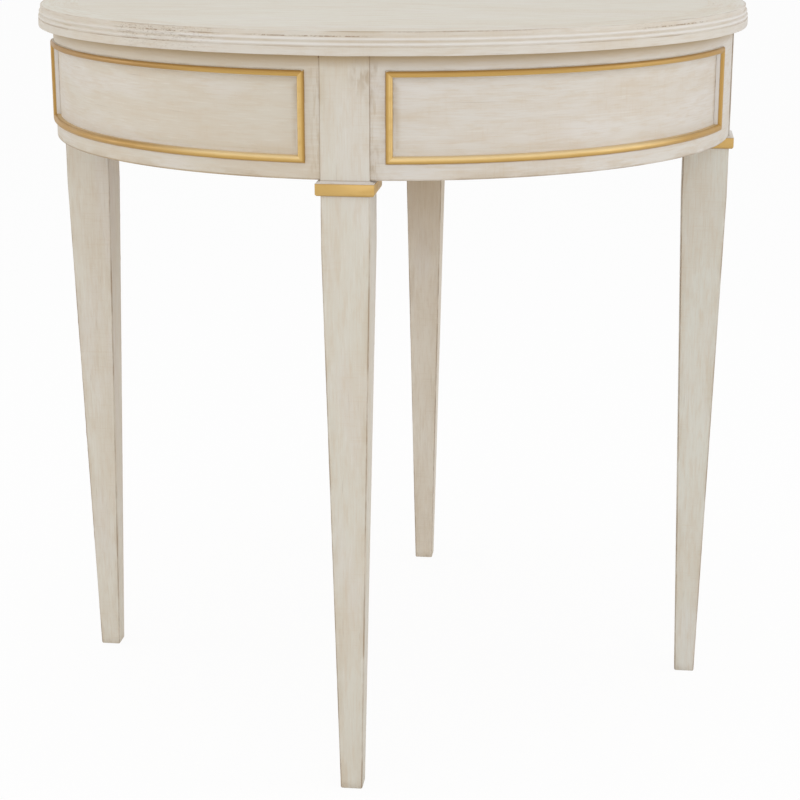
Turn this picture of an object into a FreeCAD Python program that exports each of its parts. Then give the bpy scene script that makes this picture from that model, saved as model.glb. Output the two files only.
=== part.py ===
"""A round table: a moulded top on a curved apron, with mitred bead frames and collared taper legs.

The table stands on z = 0 with its axis on Z. Leg 0 is the front one, on -Y, and the others follow it
anticlockwise at equal angles. Each leg, rail, moulding and block is its own solid, and all of them are
placed from the sizes below, which are in millimetres.
"""

import FreeCAD, Part
import math
import os

# Whole table
TABLE_HEIGHT = 758.0
TOP_DIAMETER = 754.0
TOP_OVERHANG = 15.0
LEGS = ("front", "right", "rear", "left")
QUARTERS = ("front_right", "rear_right", "rear_left", "front_left")

# Top: a round core panel, lipped with a moulded edge that is cut in quarters
TOP_THICKNESS = 22.2
LIPPING_WIDTH = 42.0
TONGUE_LENGTH = 8.0
TONGUE_THICKNESS = 7.0

# Edge moulding, from the upper arris down: a fillet, a pair of reeds and a fascia that takes the rest
FILLET_HEIGHT = 4.7
REED_HEIGHT = 4.6
REED_COUNT = 2
REED_BULGE = 1.5
FILLET_SETBACK = 2.5
REED_STEP = 0.8
UPPER_ARRIS = 0.8
FASCIA_ARRIS = 0.8

# Apron: quarter rails, tenoned into the legs
APRON_HEIGHT = 114.8
APRON_THICKNESS = 24.0
APRON_ARRIS = 1.2
TENON_LENGTH = 17.0
TENON_THICKNESS = 9.0
TENON_SHOULDER = 14.0
MORTISE_SPARE = 1.0

# Legs: straight from the top to a neck below the collar, then a taper on all sides down to the foot
LEG_WIDTH = 46.2
LEG_DEPTH = 48.0
NECK_LENGTH = 52.0
LEG_PROUD = 0.6
LEG_ARRIS = 1.3
FOOT_WIDTH = 22.0
FOOT_EASE_HEIGHT = 3.0
FOOT_EASE_INSET = 1.4

# Collars: four mitred strips round each leg, sloped above and rounded below
COLLAR_HEIGHT = 14.0
COLLAR_PROJECTION = 4.6
COLLAR_SLOPE = 2.2
COLLAR_ROUND = 2.8
COLLAR_DROP = 0.4

# Bead frames: half-round strips planted on the rails and mitred at the corners, with a narrow margin
# beside the front and rear legs and a wide one beside the right and left legs
BEAD_WIDTH = 6.8
BEAD_UPPER_MARGIN = 17.5
BEAD_LOWER_MARGIN = 18.6
BEAD_NEAR_MARGIN = 17.6
BEAD_FAR_MARGIN = 78.0

# Glue blocks in the corners behind the rails
GLUE_BLOCK_REACH = 30.0
GLUE_BLOCK_NOSE = 3.0
GLUE_BLOCK_HEIGHT = 78.0

# Wooden buttons that hold the top down, their slots and their screws
BUTTONS_PER_RAIL = 2
BUTTON_ANGLE_SHARE = 0.29
BUTTON_WIDTH = 26.0
BUTTON_LENGTH = 38.0
BUTTON_THICKNESS = 18.0
BUTTON_TONGUE_LENGTH = 9.0
BUTTON_TONGUE_THICKNESS = 8.0
SLOT_END_PLAY = 1.5
SLOT_SIDE_PLAY = 3.0
SLOT_LOWER_PLAY = 1.0
SCREW_DIAMETER = 4.0
SCREW_HEAD_DIAMETER = 8.0
SCREW_BITE_SHARE = 0.6
SCREW_PLACE_SHARE = 0.5
SCREW_POINT = 4.0
SCREW_SLOT_WIDTH = 1.0
SCREW_SLOT_DEPTH = 1.2

# Fits
GLUE_GAP = 0.1
SCREW_PLAY = 0.25
OVERRUN = 5.0

# Levels and radii that follow from the sizes above
TOP_RADIUS = TOP_DIAMETER / 2
CORE_RADIUS = TOP_RADIUS - LIPPING_WIDTH
APRON_RADIUS = TOP_RADIUS - TOP_OVERHANG
APRON_INNER_RADIUS = APRON_RADIUS - APRON_THICKNESS
TOP_UNDERSIDE = TABLE_HEIGHT - TOP_THICKNESS
APRON_BOTTOM = TOP_UNDERSIDE - APRON_HEIGHT
COLLAR_TOP = APRON_BOTTOM - COLLAR_DROP
COLLAR_BOTTOM = COLLAR_TOP - COLLAR_HEIGHT
NECK_BOTTOM = COLLAR_BOTTOM - NECK_LENGTH
LEG_FACE = APRON_RADIUS + LEG_PROUD
LEG_AXIS = LEG_FACE - LEG_DEPTH / 2
LEG_BACK = LEG_FACE - LEG_DEPTH
QUARTER = 360.0 / len(LEGS)
FRONT = -90.0
AXIS = FreeCAD.Vector(0, 0, 1)
ORIGIN = FreeCAD.Vector(0, 0, 0)
REACH = TOP_DIAMETER + TABLE_HEIGHT


def point(x, y, z):
    return FreeCAD.Vector(x, y, z)


def line(start, end):
    return Part.LineSegment(start, end).toShape()


def arc(start, middle, end):
    return Part.Arc(start, middle, end).toShape()


def quarter_round(start, corner, end):
    """The arc from start to end that rounds a square corner."""
    centre = start + end - corner
    middle = centre + (corner - centre).normalize() * (start - centre).Length
    return arc(start, middle, end)


def polygon(points):
    return Part.Face(Part.makePolygon(points + [points[0]]))


def box(x, y, z):
    """A box from its lowest and highest values along each axis."""
    return Part.makeBox(x[1] - x[0], y[1] - y[0], z[1] - z[0], point(x[0], y[0], z[0]))


def turned(shape, degrees):
    """A copy of a shape, turned about the table's axis."""
    copy = shape.copy()
    copy.rotate(ORIGIN, AXIS, degrees)
    return copy


def half_space(place, normal):
    """A block that fills the side of a plane to which the normal points."""
    side = Part.makeBox(REACH, REACH, REACH, point(-REACH / 2, -REACH / 2, 0))
    side.Placement = FreeCAD.Placement(place, FreeCAD.Rotation(AXIS, normal))
    return side


def top_panel():
    """The core of the top, grooved all round for the lipping's tongue and drilled for the button screws."""
    groove_floor = CORE_RADIUS - TONGUE_LENGTH - GLUE_GAP
    middle = TOP_UNDERSIDE + TOP_THICKNESS / 2
    half_groove = TONGUE_THICKNESS / 2 + GLUE_GAP
    outline = polygon([
        point(0, 0, TOP_UNDERSIDE),
        point(CORE_RADIUS, 0, TOP_UNDERSIDE),
        point(CORE_RADIUS, 0, middle - half_groove),
        point(groove_floor, 0, middle - half_groove),
        point(groove_floor, 0, middle + half_groove),
        point(CORE_RADIUS, 0, middle + half_groove),
        point(CORE_RADIUS, 0, TABLE_HEIGHT),
        point(0, 0, TABLE_HEIGHT),
    ])
    panel = outline.revolve(ORIGIN, AXIS, 360)
    pilot_depth = TOP_THICKNESS * SCREW_BITE_SHARE + SCREW_PLAY
    for place in button_places():
        pilot = Part.makeCylinder(
            SCREW_DIAMETER / 2 + SCREW_PLAY,
            pilot_depth + OVERRUN,
            point(screw_radius(), 0, TOP_UNDERSIDE - OVERRUN),
        )
        panel = panel.cut(turned(pilot, place))
    return panel


def edge_outline():
    """The lipping's section, in the XZ plane: a tongue inside, and fillet, reeds and fascia outside."""
    middle = TOP_UNDERSIDE + TOP_THICKNESS / 2
    half_tongue = TONGUE_THICKNESS / 2
    tongue_end = CORE_RADIUS - TONGUE_LENGTH
    fillet_radius = TOP_RADIUS - FILLET_SETBACK
    corners = [
        point(fillet_radius - UPPER_ARRIS, 0, TABLE_HEIGHT),
        point(CORE_RADIUS, 0, TABLE_HEIGHT),
        point(CORE_RADIUS, 0, middle + half_tongue),
        point(tongue_end, 0, middle + half_tongue),
        point(tongue_end, 0, middle - half_tongue),
        point(CORE_RADIUS, 0, middle - half_tongue),
        point(CORE_RADIUS, 0, TOP_UNDERSIDE),
        point(TOP_RADIUS - FASCIA_ARRIS, 0, TOP_UNDERSIDE),
    ]
    edges = [line(a, b) for a, b in zip(corners, corners[1:])]
    fascia_foot = point(TOP_RADIUS, 0, TOP_UNDERSIDE + FASCIA_ARRIS)
    edges.append(quarter_round(corners[-1], point(TOP_RADIUS, 0, TOP_UNDERSIDE), fascia_foot))
    level = TABLE_HEIGHT - FILLET_HEIGHT - REED_COUNT * REED_HEIGHT
    here = point(TOP_RADIUS, 0, level)
    edges.append(line(fascia_foot, here))
    for reed in range(REED_COUNT):
        valley = TOP_RADIUS - REED_BULGE - reed * REED_STEP
        start = point(valley, 0, level)
        edges.append(line(here, start))
        level += REED_HEIGHT
        here = point(valley, 0, level)
        edges.append(arc(start, point(valley + REED_BULGE, 0, level - REED_HEIGHT / 2), here))
    fillet_foot = point(fillet_radius, 0, level)
    fillet_head = point(fillet_radius, 0, TABLE_HEIGHT - UPPER_ARRIS)
    edges.append(line(here, fillet_foot))
    edges.append(line(fillet_foot, fillet_head))
    edges.append(quarter_round(fillet_head, point(fillet_radius, 0, TABLE_HEIGHT), corners[0]))
    return Part.Face(Part.Wire(edges))


def top_edges():
    """Four quarter lengths of the lipping, butted over the legs."""
    quarter = edge_outline().revolve(ORIGIN, AXIS, QUARTER)
    return {
        "top_edge_" + name: turned(quarter, FRONT + QUARTER * number)
        for number, name in enumerate(QUARTERS)
    }


def tenon_levels():
    return APRON_BOTTOM + TENON_SHOULDER, TOP_UNDERSIDE - TENON_SHOULDER


def tenon_depths():
    """The nearest and furthest distance of a tenon's cheeks from the table's axis, along the leg."""
    middle_radius = APRON_RADIUS - APRON_THICKNESS / 2
    middle = math.sqrt(middle_radius**2 - (LEG_WIDTH / 2) ** 2)
    return middle - TENON_THICKNESS / 2, middle + TENON_THICKNESS / 2


def rail_section():
    """A rail's section with its lower corners eased, in the XZ plane."""
    inner, outer = APRON_INNER_RADIUS, APRON_RADIUS
    low, eased = APRON_BOTTOM, APRON_BOTTOM + APRON_ARRIS
    outer_foot = point(outer - APRON_ARRIS, 0, low)
    inner_foot = point(inner + APRON_ARRIS, 0, low)
    return Part.Face(Part.Wire([
        line(point(inner, 0, eased), point(inner, 0, TOP_UNDERSIDE)),
        line(point(inner, 0, TOP_UNDERSIDE), point(outer, 0, TOP_UNDERSIDE)),
        line(point(outer, 0, TOP_UNDERSIDE), point(outer, 0, eased)),
        quarter_round(point(outer, 0, eased), point(outer, 0, low), outer_foot),
        line(outer_foot, inner_foot),
        quarter_round(inner_foot, point(inner, 0, low), point(inner, 0, eased)),
    ]))


def rail_tenon(side):
    """A tenon at one end of the front leg's rails: side is 1 for the rail on the right, -1 on the left."""
    near, far = tenon_depths()
    shoulder = LEG_WIDTH / 2
    ends = sorted([side * (shoulder - TENON_LENGTH), side * (shoulder + TENON_THICKNESS)])
    return box(ends, (-far, -near), tenon_levels())


def button_slot():
    """The slot for one button's tongue, in a rail's inner face on +X."""
    low = slot_ceiling() - BUTTON_TONGUE_THICKNESS - SLOT_LOWER_PLAY
    half = BUTTON_WIDTH / 2 + SLOT_SIDE_PLAY
    depth = APRON_INNER_RADIUS + BUTTON_TONGUE_LENGTH + SLOT_END_PLAY
    return box((APRON_INNER_RADIUS - OVERRUN, depth), (-half, half), (low, slot_ceiling()))


def apron_rails():
    """Four curved rails, shouldered against the legs, each with two tenons and slots for the buttons."""
    first_leg = box(
        (-LEG_WIDTH / 2, LEG_WIDTH / 2),
        (-APRON_RADIUS - OVERRUN, 0),
        (APRON_BOTTOM - OVERRUN, TOP_UNDERSIDE + OVERRUN),
    )
    rail = turned(rail_section().revolve(ORIGIN, AXIS, QUARTER), FRONT)
    rail = rail.cut(first_leg).cut(turned(first_leg, QUARTER))
    rail = rail.fuse([rail_tenon(1), turned(rail_tenon(-1), QUARTER)]).removeSplitter()
    for place in button_places()[:BUTTONS_PER_RAIL]:
        rail = rail.cut(turned(button_slot(), place))
    return {
        "apron_" + name: turned(rail, QUARTER * number)
        for number, name in enumerate(QUARTERS)
    }


def leg_outline(width, depth, level):
    """A leg's section at a level: a rectangle about the leg's own axis, with eased corners."""
    x, y = width / 2, depth / 2
    corners = [point(a * x, b * y - LEG_AXIS, level) for a, b in ((-1, -1), (1, -1), (1, 1), (-1, 1))]
    edges = []
    for number, corner in enumerate(corners):
        before = (corners[number - 1] - corner).normalize() * LEG_ARRIS
        after = (corners[(number + 1) % len(corners)] - corner).normalize() * LEG_ARRIS
        edges.append(quarter_round(corner + before, corner, corner + after))
        following = corners[(number + 1) % len(corners)]
        edges.append(line(corner + after, following - after))
    return Part.Wire(edges)


def leg_blank():
    """The front leg before it is mortised: a straight upper part, a taper and an eased foot."""
    neck = leg_outline(LEG_WIDTH, LEG_DEPTH, NECK_BOTTOM)
    ankle = leg_outline(FOOT_WIDTH, FOOT_WIDTH, FOOT_EASE_HEIGHT)
    sole_width = FOOT_WIDTH - 2 * FOOT_EASE_INSET
    block = Part.Face(neck).extrude(AXIS * (TOP_UNDERSIDE - NECK_BOTTOM))
    taper = Part.makeLoft([ankle, neck], True, True)
    foot = Part.makeLoft([leg_outline(sole_width, sole_width, 0), ankle], True, True)
    return block.fuse([taper, foot]).removeSplitter()


def leg():
    """The front leg, with a mortise for the rail on each side."""
    whole = leg_blank()
    near, far = tenon_depths()
    low, high = tenon_levels()
    for side in (-1, 1):
        floor = LEG_WIDTH / 2 - TENON_LENGTH - MORTISE_SPARE
        ends = sorted([side * floor, side * (LEG_WIDTH / 2 + OVERRUN)])
        whole = whole.cut(box(ends, (-far - GLUE_GAP, -near + GLUE_GAP), (low - GLUE_GAP, high + GLUE_GAP)))
    return whole


def collar():
    """The front leg's collar: a strip on each side, mitred at the corners and fitted round the leg."""
    outer = COLLAR_PROJECTION
    inset = outer - COLLAR_ROUND
    round_start = COLLAR_BOTTOM + COLLAR_ROUND
    shoulder = COLLAR_TOP - COLLAR_SLOPE
    crest = COLLAR_TOP + COLLAR_SLOPE
    blank = leg_blank()
    strips = []
    for turn, (away, length) in enumerate(2 * [(LEG_DEPTH / 2, LEG_WIDTH), (LEG_WIDTH / 2, LEG_DEPTH)]):
        half = length / 2 + outer
        section = Part.Face(Part.Wire([
            line(point(-half, outer, COLLAR_BOTTOM), point(-half, outer, crest)),
            line(point(-half, outer, crest), point(-half, -outer, shoulder)),
            line(point(-half, -outer, shoulder), point(-half, -outer, round_start)),
            quarter_round(
                point(-half, -outer, round_start),
                point(-half, -outer, COLLAR_BOTTOM),
                point(-half, -inset, COLLAR_BOTTOM),
            ),
            line(point(-half, -inset, COLLAR_BOTTOM), point(-half, outer, COLLAR_BOTTOM)),
        ]))
        strip = section.extrude(point(2 * half, 0, 0))
        for side in (-1, 1):
            strip = strip.common(half_space(point(side * length / 2, 0, 0), point(-side, -1, 0)))
        strip.translate(point(0, -away, 0))
        strip.rotate(ORIGIN, AXIS, 90 * turn)
        strip.translate(point(0, -LEG_AXIS, 0))
        strips.append(strip.cut(blank))
    return Part.Compound(strips)


def bead_levels():
    return APRON_BOTTOM + BEAD_LOWER_MARGIN, TOP_UNDERSIDE - BEAD_UPPER_MARGIN


def bead_angle(margin):
    """The angle between a leg's centre and the centre of the upright bead beside it."""
    return math.degrees(math.asin((LEG_WIDTH / 2 + margin) / APRON_RADIUS))


def half_disc(upright):
    """A bead's section on the rail's face at +X: flat on the rail, round outside."""
    across = point(0, BEAD_WIDTH / 2, 0) if upright else point(0, 0, BEAD_WIDTH / 2)
    middle = point(APRON_RADIUS, 0, 0)
    crown = middle + point(BEAD_WIDTH / 2, 0, 0)
    back = line(middle + across, middle - across)
    return Part.Face(Part.Wire([arc(middle - across, crown, middle + across), back]))


def mitre(shape, angle, level, along, up):
    """Cuts a bead at the frame's corner: it keeps the side that along and up, each 1 or -1, point to."""
    place = turned_point(point(APRON_RADIUS, 0, level), angle)
    return shape.common(half_space(place, turned_point(point(0, along, up), angle)))


def turned_point(vector, degrees):
    return FreeCAD.Rotation(AXIS, degrees).multVec(vector)


def bead_frame(first_margin, last_margin):
    """The four strips of the front right bead frame, with its margins beside the two legs."""
    low, high = bead_levels()
    first = FRONT + bead_angle(first_margin)
    last = FRONT + QUARTER - bead_angle(last_margin)
    spare = math.degrees(BEAD_WIDTH / APRON_RADIUS)
    strips = {}
    for name, level, inward in (("lower", low, 1), ("upper", high, -1)):
        section = half_disc(False)
        section.translate(point(0, 0, level))
        strip = turned(section.revolve(ORIGIN, AXIS, last - first + 2 * spare), first - spare)
        strip = mitre(strip, first, level, 1, -inward)
        strips[name] = mitre(strip, last, level, -1, -inward)
    for name, angle, inward in (("left", first, 1), ("right", last, -1)):
        section = half_disc(True)
        section.translate(point(0, 0, low - BEAD_WIDTH))
        strip = turned(section.extrude(AXIS * (high - low + 2 * BEAD_WIDTH)), angle)
        strip = mitre(strip, angle, low, -inward, 1)
        strips[name] = mitre(strip, angle, high, -inward, -1)
    return strips


def glue_block(side):
    """A block in the corner behind the front leg: side is 1 on the right, -1 on the left."""
    leg_side = side * LEG_WIDTH / 2
    tip = side * (LEG_WIDTH / 2 + GLUE_BLOCK_REACH)
    tip_depth = math.sqrt(APRON_INNER_RADIUS**2 - tip**2)
    low = TOP_UNDERSIDE - (APRON_HEIGHT + GLUE_BLOCK_HEIGHT) / 2
    plan = polygon([
        point(leg_side, -LEG_BACK, low),
        point(leg_side + side * GLUE_BLOCK_NOSE, -LEG_BACK, low),
        point(tip, -tip_depth + GLUE_BLOCK_NOSE, low),
        point(tip, -APRON_RADIUS, low),
        point(leg_side, -APRON_RADIUS, low),
    ])
    block = plan.extrude(AXIS * GLUE_BLOCK_HEIGHT)
    return block.common(Part.makeCylinder(APRON_INNER_RADIUS, TABLE_HEIGHT))


def slot_ceiling():
    """The upper face of a button's slot, which its tongue pulls against."""
    return TOP_UNDERSIDE - BUTTON_THICKNESS + BUTTON_TONGUE_THICKNESS


def screw_radius():
    return APRON_INNER_RADIUS - BUTTON_LENGTH * SCREW_PLACE_SHARE


def button_places():
    """The buttons' angles about the table's axis, rail by rail from the front right."""
    places = []
    for number in range(len(QUARTERS)):
        for button in range(BUTTONS_PER_RAIL):
            middle_share = (1 - 2 * BUTTON_ANGLE_SHARE) * button / max(BUTTONS_PER_RAIL - 1, 1)
            places.append(FRONT + QUARTER * (number + BUTTON_ANGLE_SHARE + middle_share))
    return places


def screw_levels():
    """A button screw's lower and upper end."""
    return TOP_UNDERSIDE - BUTTON_THICKNESS, TOP_UNDERSIDE + TOP_THICKNESS * SCREW_BITE_SHARE


def screw_body(play):
    """A countersunk screw that points up, or with play the room that it needs in its button."""
    head, shank = SCREW_HEAD_DIAMETER / 2 + play, SCREW_DIAMETER / 2 + play
    low, tip = screw_levels()
    sink = low + head - shank
    outline = polygon([
        point(0, 0, low),
        point(head, 0, low),
        point(shank, 0, sink),
        point(shank, 0, tip - SCREW_POINT),
        point(0, 0, tip),
    ])
    return outline.revolve(ORIGIN, AXIS, 360)


def button():
    """A wooden button on +X: a block under the top, with a tongue that reaches into the rail's slot."""
    half = BUTTON_WIDTH / 2
    low = TOP_UNDERSIDE - BUTTON_THICKNESS
    back = APRON_INNER_RADIUS - BUTTON_LENGTH
    shoulder = APRON_INNER_RADIUS - SLOT_END_PLAY
    tip = APRON_INNER_RADIUS + BUTTON_TONGUE_LENGTH
    block = box((back, shoulder), (-half, half), (low, TOP_UNDERSIDE))
    tongue = box((back, tip), (-half, half), (low, slot_ceiling()))
    hole = screw_body(SCREW_PLAY)
    hole.translate(point(screw_radius(), 0, 0))
    return block.fuse(tongue).removeSplitter().cut(hole)


def button_screw():
    low = screw_levels()[0]
    half = SCREW_SLOT_WIDTH / 2
    reach = SCREW_HEAD_DIAMETER
    slot = box((-reach, reach), (-half, half), (low - OVERRUN, low + SCREW_SLOT_DEPTH))
    screw = screw_body(0).cut(slot)
    screw.translate(point(screw_radius(), 0, 0))
    return screw


def table():
    """Every piece of the table, by name."""
    pieces = {"top_panel": top_panel()}
    pieces.update(top_edges())
    pieces.update(apron_rails())
    front_leg, front_collar = leg(), collar()
    blocks = {"right": glue_block(1), "left": glue_block(-1)}
    for number, name in enumerate(LEGS):
        pieces["leg_" + name] = turned(front_leg, QUARTER * number)
        pieces["collar_" + name] = turned(front_collar, QUARTER * number)
        for side, block in blocks.items():
            pieces["glue_block_" + name + "_" + side] = turned(block, QUARTER * number)
    margins = (BEAD_NEAR_MARGIN, BEAD_FAR_MARGIN)
    frames = (bead_frame(*margins), bead_frame(*reversed(margins)))
    for number, name in enumerate(QUARTERS):
        for strip, shape in frames[number % len(frames)].items():
            pieces["bead_" + name + "_" + strip] = turned(shape, QUARTER * number)
    one_button, one_screw = button(), button_screw()
    places = button_places()
    for number, place in enumerate(places):
        name = QUARTERS[number // BUTTONS_PER_RAIL]
        pieces[f"top_button_{name}_{number % BUTTONS_PER_RAIL + 1}"] = turned(one_button, place)
    pieces["button_screws"] = Part.Compound([turned(one_screw, place) for place in places])
    return pieces


def main():
    os.makedirs("parts", exist_ok=True)
    for name, shape in table().items():
        shape.exportStep("parts/" + name + ".step")
        print(f"{name}: {len(shape.Solids)} solids, valid {shape.isValid()}, {shape.Volume:.0f} mm3")


main()
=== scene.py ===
# %% [markdown]
# # A round painted table
#
# The CAD model gives every piece of this table its true shape and place. This script dresses it: it
# models again the pieces that use and paint have softened, sinks the fields of the rails, gives every
# piece its finish, and sets up the studio and the camera. Everything is in metres, with the table's
# axis on Z and the floor at zero.

# %% Load the table
import math

import bmesh
import bpy
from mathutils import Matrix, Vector


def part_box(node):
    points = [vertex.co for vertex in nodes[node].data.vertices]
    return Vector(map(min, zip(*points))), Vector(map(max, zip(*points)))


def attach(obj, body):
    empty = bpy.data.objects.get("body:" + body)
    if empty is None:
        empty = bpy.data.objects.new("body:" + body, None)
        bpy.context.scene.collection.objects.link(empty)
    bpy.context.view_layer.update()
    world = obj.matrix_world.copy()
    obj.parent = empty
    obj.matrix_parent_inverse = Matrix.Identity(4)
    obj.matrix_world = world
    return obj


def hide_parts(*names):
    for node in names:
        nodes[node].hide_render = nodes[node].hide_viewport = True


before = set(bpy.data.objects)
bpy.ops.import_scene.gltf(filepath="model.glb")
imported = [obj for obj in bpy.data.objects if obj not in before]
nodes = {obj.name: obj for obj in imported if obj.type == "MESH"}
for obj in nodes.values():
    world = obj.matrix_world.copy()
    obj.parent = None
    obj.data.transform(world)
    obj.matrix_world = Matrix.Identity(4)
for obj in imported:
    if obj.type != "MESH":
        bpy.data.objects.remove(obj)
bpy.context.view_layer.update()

# %% [markdown]
# ## Camera
#
# The table is seen from the front and a little above, a few degrees to the right of the front leg. The
# camera stands a little over two metres from the table's axis, and a long lens keeps the legs nearly
# upright.

# %% Camera
CAMERA_DISTANCE = 2.1717
CAMERA_HEIGHT = 0.9231
CAMERA_AZIMUTH = math.radians(7.046)
CAMERA_PITCH = math.radians(15.767)
CAMERA_YAW = math.radians(0.195)
FOCAL_PIXELS = 1985.5
IMAGE_SIDE = 800
SENSOR_WIDTH = 36

bpy.ops.object.select_all(action="DESELECT")
bpy.ops.object.camera_add(
    location=(
        CAMERA_DISTANCE * math.sin(CAMERA_AZIMUTH),
        -CAMERA_DISTANCE * math.cos(CAMERA_AZIMUTH),
        CAMERA_HEIGHT,
    ),
    rotation=(math.radians(90) - CAMERA_PITCH, 0, CAMERA_AZIMUTH - CAMERA_YAW),
)
camera = bpy.context.object
camera.data.sensor_width = SENSOR_WIDTH
camera.data.lens = SENSOR_WIDTH * FOCAL_PIXELS / IMAGE_SIDE
bpy.context.scene.camera = camera
bpy.context.scene.view_settings.view_transform = "Standard"
print("lens", round(camera.data.lens, 1), "mm")

# %% [markdown]
# ## Node helpers
#
# Every finish below is a small graph of shader nodes, and most of a graph is arithmetic on the place of
# a point. A small class stands for what a node gives, so that a sum can be written as a sum: each sign
# puts a Math node into the graph.

# %% Values of nodes
class Value:
    """What a shader node gives; a sum with it adds a Math node to the same graph."""

    def __init__(self, socket):
        self.socket = socket
        self.tree = socket.id_data

    def __add__(self, other):
        return maths("ADD", self, other)

    def __sub__(self, other):
        return maths("SUBTRACT", self, other)

    def __rsub__(self, other):
        return maths("SUBTRACT", other, self)

    def __mul__(self, other):
        return maths("MULTIPLY", self, other)

    def __abs__(self):
        return maths("ABSOLUTE", self)


def add(tree, kind, **options):
    node = tree.nodes.new("ShaderNode" + kind)
    for name, value in options.items():
        setattr(node, name, value)
    return node


def feed(socket, value):
    """Joins a value to a socket, or sets the socket to a plain number or colour."""
    if isinstance(value, Value):
        value.tree.links.new(value.socket, socket)
    else:
        socket.default_value = value


def graph_of(*values):
    return next(value.tree for value in values if isinstance(value, Value))


def node_on(kind, values, **options):
    """Adds a node that takes in some values, socket by socket."""
    node = add(graph_of(*values), kind, **options)
    for socket, value in zip(node.inputs, values):
        feed(socket, value)
    return Value(node.outputs[0])


def maths(operation, *values):
    """Math nodes that take in one value after the other."""
    result = node_on("Math", values[:2], operation=operation)
    for value in values[2:]:
        result = node_on("Math", (result, value), operation=operation)
    return result


def most(*values):
    return maths("MAXIMUM", *values)


def least(*values):
    return maths("MINIMUM", *values)


print("sums of nodes ready")

# %% [markdown]
# The other helpers add a slope, a noise, a blend of colours. Most marks on the paint are full up to one
# distance and gone beyond another, and are written below as pairs of distances.

# %% Node helpers
def fade(value, start, end, low=0.0, high=1.0, slope="SMOOTHSTEP"):
    """Low up to start, high from end on, with a slope between them."""
    return node_on("MapRange", (value, start, end, low, high), interpolation_type=slope)


def near(distance, width, share=1.0):
    """A share up to the first distance of a pair, and nothing beyond the second."""
    solid, gone = width
    return fade(distance, solid, gone, share, 0.0)


def noise(point, stretch, scale, detail=3.0, rough=0.5):
    """A noise at a point; a stretch below one draws it out along that axis."""
    mapping = add(point.tree, "Mapping")
    feed(mapping.inputs["Vector"], point)
    mapping.inputs["Scale"].default_value = stretch
    node = add(point.tree, "TexNoise")
    feed(node.inputs["Vector"], Value(mapping.outputs[0]))
    feed(node.inputs["Scale"], scale)
    feed(node.inputs["Detail"], detail)
    feed(node.inputs["Roughness"], rough)
    return Value(node.outputs[0])


def blend(share, first, second):
    node = add(graph_of(share, first, second), "Mix", data_type="RGBA")
    feed(node.inputs["Factor"], share)
    feed(node.inputs["A"], first)
    feed(node.inputs["B"], second)
    return Value(node.outputs["Result"])


def vector(x, y, z):
    return node_on("CombineXYZ", (x, y, z))


def new_graph(owner):
    """The emptied node graph of a material or a world."""
    owner.use_nodes = True
    owner.node_tree.nodes.clear()
    return owner.node_tree


def new_finish(name):
    """A material, its shader, and a point's x, y and z in the table's frame."""
    finish = bpy.data.materials.new(name)
    tree = new_graph(finish)
    shader = add(tree, "BsdfPrincipled")
    feed(add(tree, "OutputMaterial").inputs["Surface"], Value(shader.outputs[0]))
    split = add(tree, "SeparateXYZ")
    feed(split.inputs[0], Value(add(tree, "TexCoord").outputs["Object"]))
    return finish, shader, *[Value(socket) for socket in split.outputs]


print("node helpers ready")

# %% [markdown]
# ## Floor and white studio
#
# The floor is a large pale disc that takes the table's soft shadow. Part of what the camera sees of it
# is a plain white glow, which no other ray sees, so it looks white without more light falling on the
# table. The world is white to the camera and to reflections, and a little dimmer as a light.

# %% Floor and white studio
FLOOR_RADIUS = 12.0
FLOOR_SIDES = 96
FLOOR_DROP = 0.0005
FLOOR_COLOUR = (0.95, 0.95, 0.95, 1)
FLOOR_GLOW_SHARE = 0.93
WORLD_COLOUR = (1, 1, 1, 1)
WORLD_STRENGTH = 0.68

bpy.ops.object.select_all(action="DESELECT")
bpy.ops.mesh.primitive_circle_add(
    vertices=FLOOR_SIDES, radius=FLOOR_RADIUS, fill_type="NGON", location=(0, 0, -FLOOR_DROP)
)
floor = bpy.context.object
floor.name = "floor"

floor_white = bpy.data.materials.new("white studio floor")
tree = new_graph(floor_white)
matt = add(tree, "BsdfDiffuse")
matt.inputs["Color"].default_value = FLOOR_COLOUR
glow = add(tree, "Emission")
seen = Value(add(tree, "LightPath").outputs["Is Camera Ray"])
lift = node_on("MixShader", (seen * FLOOR_GLOW_SHARE, Value(matt.outputs[0]), Value(glow.outputs[0])))
feed(add(tree, "OutputMaterial").inputs["Surface"], lift)
floor.data.materials.append(floor_white)

studio = bpy.data.worlds.new("white studio")
bpy.context.scene.world = studio
tree = new_graph(studio)
path = add(tree, "LightPath")
rays = [Value(path.outputs["Is " + kind + " Ray"]) for kind in ("Camera", "Glossy", "Transmission")]
sky = add(tree, "Background")
sky.inputs["Color"].default_value = WORLD_COLOUR
feed(sky.inputs["Strength"], fade(most(*rays), 0, 1, WORLD_STRENGTH, 1.0, "LINEAR"))
feed(add(tree, "OutputWorld").inputs["Surface"], Value(sky.outputs[0]))
print("white floor", 2 * FLOOR_RADIUS, "m across")

# %% [markdown]
# ## Soft lamps
#
# Two wide softboxes left and right of the camera give the reeds and beads their shape and lay the top's
# soft shadow on the apron. A low one reaches the rear leg under the apron, two further round keep the
# sides of the legs from going dark, and one overhead lights the top as brightly as the rails.

# %% Soft lamps
LAMP_AIM = Vector((0, 0, 0.5))


def soft_lamp(name, turn, lift, power, size=1.8, distance=3.3):
    """A round softbox that looks at the middle of the table; turn is to the right of the front."""
    turn = math.radians(turn)
    lift = math.radians(lift)
    way = Vector((math.sin(turn) * math.cos(lift), -math.cos(turn) * math.cos(lift), math.sin(lift)))
    bpy.ops.object.light_add(type="AREA", location=LAMP_AIM + way * distance)
    lamp = bpy.context.object
    lamp.name = name
    lamp.data.shape = "DISK"
    lamp.data.size = size
    lamp.data.energy = power
    lamp.rotation_euler = way.to_track_quat("Z", "Y").to_euler()
    return lamp


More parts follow.
